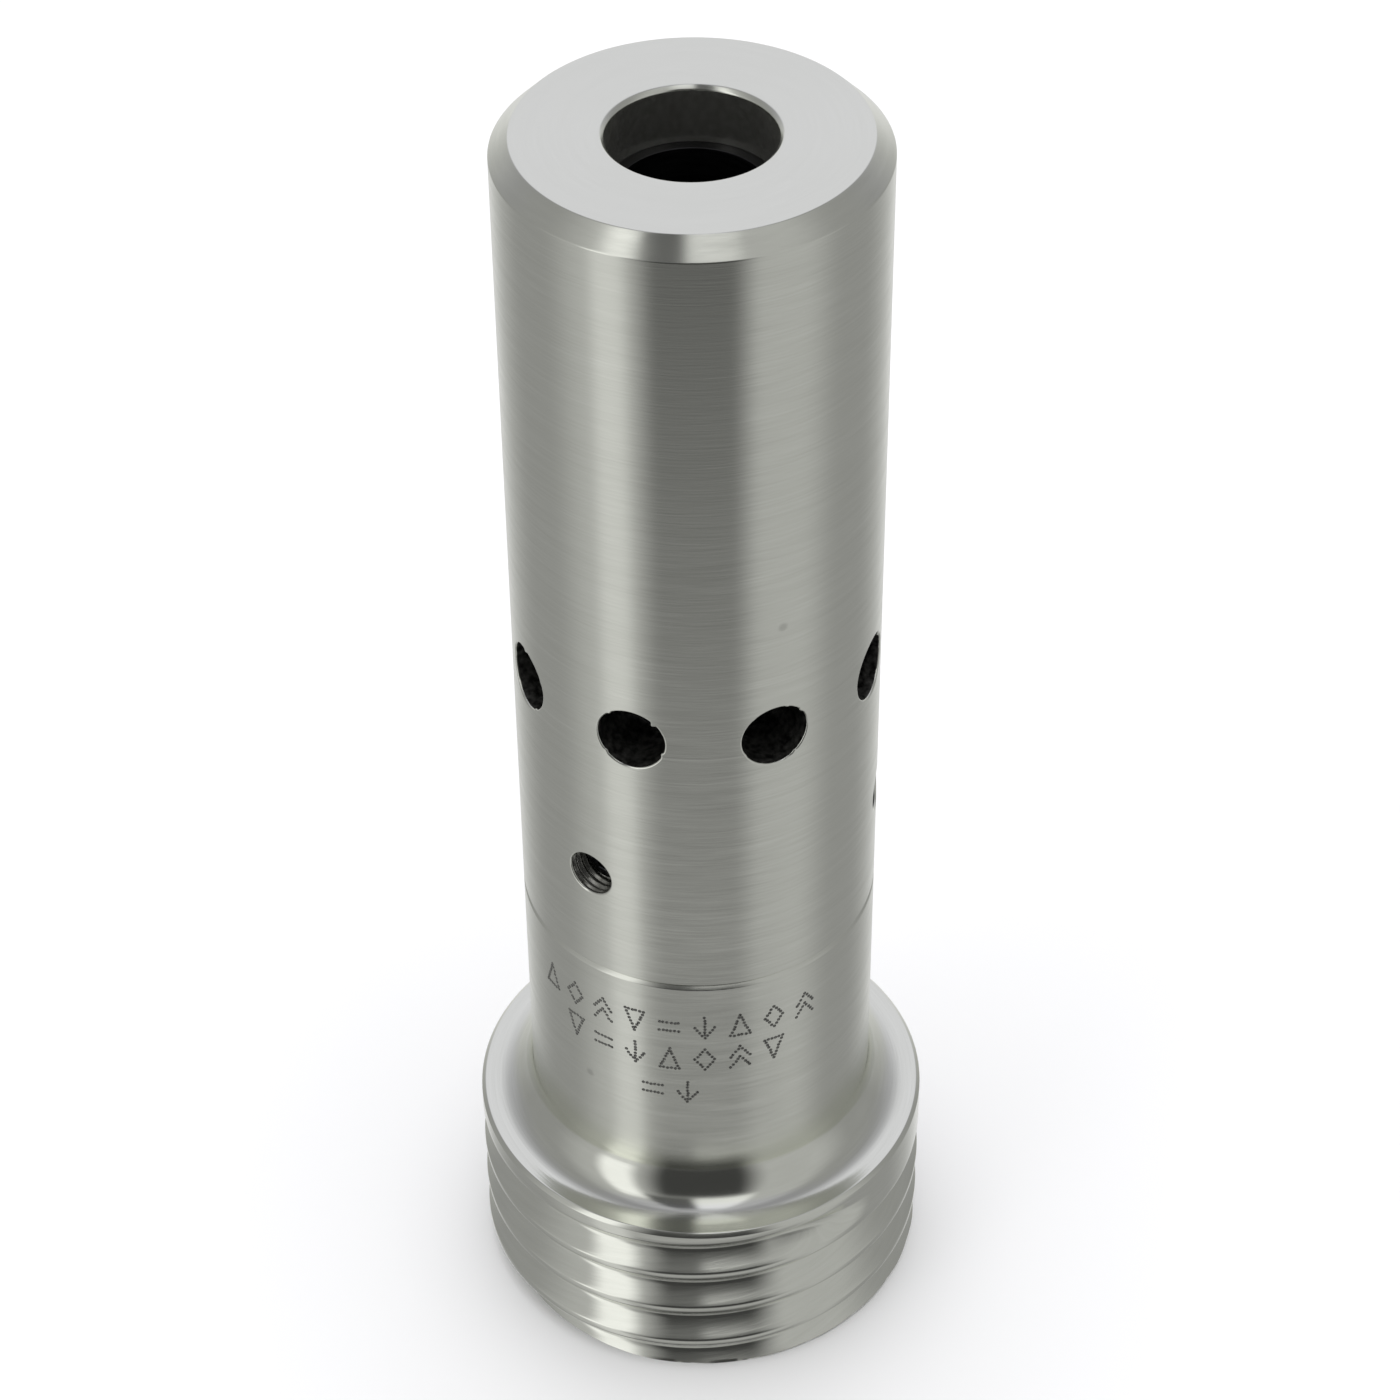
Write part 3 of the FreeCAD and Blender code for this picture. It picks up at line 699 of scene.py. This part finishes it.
def cut_aluminium_painted_shade(name, dark, pale, smooth, rough):
    """The duller walls of a drilled, tapped or bored hole, in tones from dark to pale, with painted
    shade: the colours are far darker than the turned metal and stand for the shade inside the holes
    and the bore.
    """
    material, tree, shader = new_material(name)
    swirls = linked(tree, "ShaderNodeTexNoise", {
        "Vector": linked(tree, "ShaderNodeTexCoord").outputs["Object"], "Scale": 1400.0,
        "Detail": 3.0}).outputs["Fac"]
    colour = linked(tree, "ShaderNodeMix", {
        "Factor": remapped(tree, swirls, 0.35, 0.75, 0.0, 1.0),
        "A": (dark, dark, 0.9 * dark, 1.0), "B": (pale, pale, 0.93 * pale, 1.0)},
        data_type="RGBA").outputs["Result"]
    tree.links.new(colour, shader.inputs["Base Color"])
    tree.links.new(remapped(tree, swirls, 0.3, 0.7, smooth, rough), shader.inputs["Roughness"])
    bump = linked(tree, "ShaderNodeBump", {
        "Height": swirls, "Strength": 0.4, "Distance": 0.00008})
    tree.links.new(bump.outputs["Normal"], shader.inputs["Normal"])
    shader.inputs["Metallic"].default_value = 0.85
    return material


# Painted shade: the drilled walls and the chamber walls behind them are coloured nearly black, and
# the tapped walls and the bored recess dark grey, for the shade inside them.
sleeve_finishes = [
    aluminium, cut_aluminium_painted_shade("drilled_aluminium_painted_shade", 0.02, 0.17, 0.30, 0.50),
    cut_aluminium_painted_shade("tapped_aluminium_painted_shade", 0.22, 0.40, 0.16, 0.28),
    cut_aluminium_painted_shade("bored_aluminium_painted_shade", 0.40, 0.50, 0.14, 0.22)]
OUTER, DRILLED_PAINTED_SHADE, TAPPED_PAINTED_SHADE, BORED_PAINTED_SHADE = range(4)
upper = sleeve_outline[:, 1] > air_outside[2]
lower = sleeve_outline[:, 1] < screw_outside[1]
recess_top = exit_face - lip_edge - edge_room
recess = (sleeve_outline[:, 1] < recess_top) & upper & (sleeve_outline[:, 0] < barrel_radius - 2)
step = (sleeve_outline[:, 1] < air_inside[1]) & (sleeve_outline[:, 1] > screw_inside[2])
turned_parts = [
    np.concatenate([[(socket_radius, screw_inside[1])], sleeve_outline[lower],
                    [(barrel_radius, screw_outside[1])]]),
    np.array([(barrel_radius, screw_outside[2]), (barrel_radius, air_outside[1])]),
    np.concatenate([[(barrel_radius, air_outside[2])], sleeve_outline[upper & ~recess]]),
    np.concatenate([sleeve_outline[upper & ~recess][-1:], sleeve_outline[recess],
                    [(exit_pocket_radius, air_inside[2])]]),
    np.concatenate([[(exit_pocket_radius, air_inside[1])], sleeve_outline[step],
                    [(socket_radius, screw_inside[2])]]),
]
sleeve_patches = [turned(part) for part in turned_parts]
patch_finishes = [OUTER, OUTER, OUTER, BORED_PAINTED_SHADE, DRILLED_PAINTED_SHADE]
for outside, inside, half, rows, bearings, rise, radius, wall, burr, finish in (
        (air_outside, air_inside, air_half, air_rows, air_hole_bearings, air_hole_rise,
         air_hole_radius, (air_wall_rings, drilled_wall), air_hole_burr, DRILLED_PAINTED_SHADE),
        (screw_outside, screw_inside, screw_half, screw_rows, screw_bearings, screw_rise,
         tapped_radius, (tapped_wall_rings, tapped_wall), 0.0, TAPPED_PAINTED_SHADE)):
    for surface in (outside, inside):
        sleeve_patches.append(band_between(*surface, rows, half, bearings))
    patch_finishes += [OUTER, DRILLED_PAINTED_SHADE]
    for number, bearing in enumerate(bearings):
        sleeve_patches += cross_hole(bearing, rise, radius, hole_edge, outside, inside, half, rows,
                                     wall, number, burr)
        patch_finishes += [OUTER, finish]
lay_piece("front_sleeve_turned", sleeve_patches, sleeve_finishes, "sleeve", ["front_sleeve"],
          patch_finishes)

# ---------------------------------------------------------------------------------------------
# Exit liner and its adhesive.  The second carbide venturi catches the jet and the drawn-in air.
# It is pushed up the sleeve against the lip and bonded there.
# ---------------------------------------------------------------------------------------------
exit_liner_foot = 96.2
exit_liner_radius = exit_pocket_radius - bond_gap
catch_radius = 9.6
waist_foot = 110.2
waist_top = 116.2
waist_radius = 5.6
exit_bore = 7.05
ring_piece("exit_liner_ground", [
    (catch_radius, exit_liner_foot, 0.2), (exit_liner_radius, exit_liner_foot, 0.2),
    (exit_liner_radius, lip_underside, 0.1), (exit_bore, lip_underside, 0.1),
    (waist_radius, waist_top, 0.6), (waist_radius, waist_foot, 0.6),
], carbide, "sleeve", "exit_liner")
ring_piece("exit_liner_adhesive", [
    (exit_liner_radius, exit_liner_foot + bond_inset, 0.0),
    (exit_pocket_radius, exit_liner_foot + bond_inset, 0.0),
    (exit_pocket_radius, lip_underside - bond_inset, 0.0),
    (exit_liner_radius, lip_underside - bond_inset, 0.0),
], adhesive, "sleeve", "exit_liner_bond")

# ---------------------------------------------------------------------------------------------
# Set screws.  Three M5 steel screws, oxide-blacked, with a cup point and a hexagon socket, run
# in below the surface until their points bite on the spigot.
# ---------------------------------------------------------------------------------------------
screw_tip = spigot_radius + 0.02
screw_length = 4.0
screw_radius = 2.5
socket_half_flats = 1.25
socket_depth = 2.0
cup_radius = 1.25
cup_depth = 0.5
point_length = 0.9
head_edge = 0.35
screw_groove_half = 0.22


def set_screw(bearing, around=48):
    """Points and quads of one screw, as rings along its axis from the cup to the socket's end."""
    spin = np.arange(around) * 2 * math.pi / around
    full = np.ones(around)
    head = screw_tip + screw_length
    hexagon = socket_half_flats / np.cos(spin % (math.pi / 3) - math.pi / 6)
    shank = np.linspace(screw_tip, head, 61)[:, None]
    lead = shank / screw_pitch - spin / (2 * math.pi)
    thread = screw_radius - screw_groove_half * (1 - np.cos(2 * math.pi * lead))
    point = cup_radius + (shank - screw_tip) * (screw_radius - cup_radius) / point_length
    thread = np.minimum(thread, np.minimum(point, screw_radius - head_edge + head - shank))
    rings = [(screw_tip + cup_depth, 0 * full), (screw_tip + 0.04, (cup_radius - 0.1) * full)]
    rings += [(shank[row, 0], thread[row]) for row in range(len(shank))]
    rings += [(head, hexagon + 0.12), (head - 0.1, hexagon), (head - 0.3, hexagon),
              (head - socket_depth + 0.1, hexagon), (head - socket_depth, 0.93 * hexagon),
              (head - socket_depth - 0.35, 0 * full)]
    outward = np.array([ring[0] for ring in rings])[:, None]
    reach = np.array([ring[1] for ring in rings])
    axis = math.radians(bearing)
    sideways = reach * np.cos(spin)
    points = np.stack([outward * math.cos(axis) - sideways * math.sin(axis),
                       outward * math.sin(axis) + sideways * math.cos(axis),
                       screw_rise + reach * np.sin(spin)], axis=-1)
    return points.reshape(-1, 3), grid_faces(len(rings), around, True)


def blacked_steel():
    """Oxide-blacked steel: near black, oiled, with a little bare metal where it rubs."""
    material, tree, shader = new_material("blacked_steel")
    patches = linked(tree, "ShaderNodeTexNoise", {
        "Vector": linked(tree, "ShaderNodeTexCoord").outputs["Object"], "Scale": 1500.0,
        "Detail": 3.0}).outputs["Fac"]
    colour = linked(tree, "ShaderNodeMix", {
        "Factor": remapped(tree, patches, 0.5, 0.8, 0.0, 1.0),
        "A": (0.03, 0.031, 0.034, 1.0), "B": (0.22, 0.22, 0.21, 1.0)},
        data_type="RGBA").outputs["Result"]
    tree.links.new(colour, shader.inputs["Base Color"])
    tree.links.new(remapped(tree, patches, 0.3, 0.7, 0.28, 0.42), shader.inputs["Roughness"])
    shader.inputs["Metallic"].default_value = 0.9
    return material


blacked = blacked_steel()
for number, bearing in enumerate(screw_bearings, start=1):
    lay_piece("set_screw_%d_threaded" % number, [set_screw(bearing)], [blacked],
              "screw_%d" % number, ["set_screw_%d" % number])

# ---------------------------------------------------------------------------------------------
# Studio.  A plain pale floor in a grey studio hung with light and dark panels, which the bright
# metal mirrors, and one broad soft light from above for the floor.
# ---------------------------------------------------------------------------------------------
camera_bearing = 20.755
camera_place = (0.10390, -0.27416, 0.32830)
camera_drop = 40.455
camera_roll = -0.51
camera_heading = 110.70
camera_lens = 94.76

camera_data = bpy.data.cameras.new("camera")
camera_data.lens = camera_lens
camera_data.sensor_width = 36.0
camera_data.clip_start = 0.01
camera = bpy.data.objects.new("camera", camera_data)
bpy.context.scene.collection.objects.link(camera)
heading = math.radians(camera_heading)
drop = math.radians(camera_drop)
roll = math.radians(camera_roll)
forward = np.array([math.cos(heading) * math.cos(drop), math.sin(heading) * math.cos(drop),
                    -math.sin(drop)])
right = np.cross(forward, [0.0, 0.0, 1.0])
right /= np.linalg.norm(right)
up = np.cross(right, forward)
level_right = math.cos(roll) * right + math.sin(roll) * up
level_up = -math.sin(roll) * right + math.cos(roll) * up
pose = np.eye(4)
pose[:3, 0] = level_right
pose[:3, 1] = level_up
pose[:3, 2] = -forward
pose[:3, 3] = camera_place
camera.matrix_world = Matrix(pose.tolist())
bpy.context.scene.camera = camera

world = bpy.data.worlds.new("studio")
bpy.context.scene.world = world
world.use_nodes = True
sky = world.node_tree
ray = linked(sky, "ShaderNodeTexCoord").outputs["Generated"]
turned_ray = linked(sky, "ShaderNodeVectorRotate", {
    "Vector": ray, "Axis": (0.0, 0.0, 1.0), "Angle": -math.radians(camera_bearing)}).outputs[0]
parts = linked(sky, "ShaderNodeSeparateXYZ", {0: turned_ray}).outputs
round_angle = worked(sky, "ARCTAN2", parts["X"], worked(sky, "MULTIPLY", parts["Y"], -1.0))
bearing = worked(sky, "MULTIPLY", round_angle, 180 / math.pi)
away = worked(sky, "ABSOLUTE", bearing)
height = worked(sky, "MULTIPLY", worked(sky, "ARCSINE", parts["Z"]), 180 / math.pi)


def within(angle, low, high, soft):
    """1 where an angle lies between two others and 0 outside, with soft edges."""
    return worked(sky, "MULTIPLY", remapped(sky, angle, low - soft, low + soft, 0.0, 1.0, True),
                  remapped(sky, angle, high - soft, high + soft, 1.0, 0.0, True))


# The studio's panels in the order they hang, each over the ones before it: the angle that its
# sides are measured in, its sides, its foot and top in degrees up, its light and its soft edge.
# Bearings run round from the camera, to the right; away is the same without its sign.
full_height = (-100, 100)
panels = [
    (away, (80, 130), full_height, 0.30, 15),
    (away, (150, 200), full_height, 0.75, 15),
    (bearing, (-60, 60), (-100, -55), 0.10, 10),
    (bearing, (-30, 30), (-40, 50), 0.05, 10),
    (bearing, (-40, -5), (50, 80), 0.10, 5),
    (bearing, (-5, 35), (50, 80), 0.85, 5),
    (bearing, (-60, -40), (-60, -20), 0.65, 5),
    (bearing, (-60, -40), (-20, 60), 1.0, 5),
]
studio_grey = (0.45, 0.45, 0.45, 1.0)
shade = studio_grey
for angle, sides, heights, light, soft in panels:
    covered = worked(sky, "MULTIPLY", within(angle, *sides, soft), within(height, *heights, soft))
    shade = linked(sky, "ShaderNodeMix", {
        "Factor": covered, "A": shade, "B": (light, light, light, 1.0)},
        data_type="RGBA").outputs["Result"]
behind = worked(sky, "MULTIPLY", remapped(sky, away, 100, 140, 0.0, 1.0, True),
                remapped(sky, height, 5, 25, 0.0, 1.0))
tint = linked(sky, "ShaderNodeMix", {
    "Factor": worked(sky, "MAXIMUM", behind, remapped(sky, height, 60, 72, 0.0, 1.0)),
    "A": (1.0, 1.0, 1.0, 1.0), "B": (0.985, 0.98, 1.06, 1.0)}, data_type="RGBA").outputs["Result"]
shade = linked(sky, "ShaderNodeVectorMath", {0: shade, 1: tint}, operation="MULTIPLY").outputs[0]
background = sky.nodes["Background"]
sky.links.new(shade, background.inputs["Color"])
background.inputs["Strength"].default_value = 1.0

floor_mesh = bpy.data.meshes.new("floor")
floor_half = 3.0
floor_mesh.from_pydata([
    (-floor_half, -floor_half, 0), (floor_half, -floor_half, 0),
    (floor_half, floor_half, 0), (-floor_half, floor_half, 0)], [], [(0, 1, 2, 3)])
floor = bpy.data.objects.new("floor", floor_mesh)
bpy.context.scene.collection.objects.link(floor)
floor_material, _, floor_shader = new_material("pale_floor")
floor_shader.inputs["Base Color"].default_value = (0.9, 0.9, 0.9, 1.0)
floor_shader.inputs["Roughness"].default_value = 0.9
floor_mesh.materials.append(floor_material)
floor.visible_glossy = False

lamp_data = bpy.data.lights.new("overhead", "SUN")
lamp_data.energy = 2.4
lamp_data.angle = math.radians(80)
lamp = bpy.data.objects.new("overhead", lamp_data)
bpy.context.scene.collection.objects.link(lamp)
lamp.visible_glossy = False

bpy.context.scene.view_settings.view_transform = "Standard"
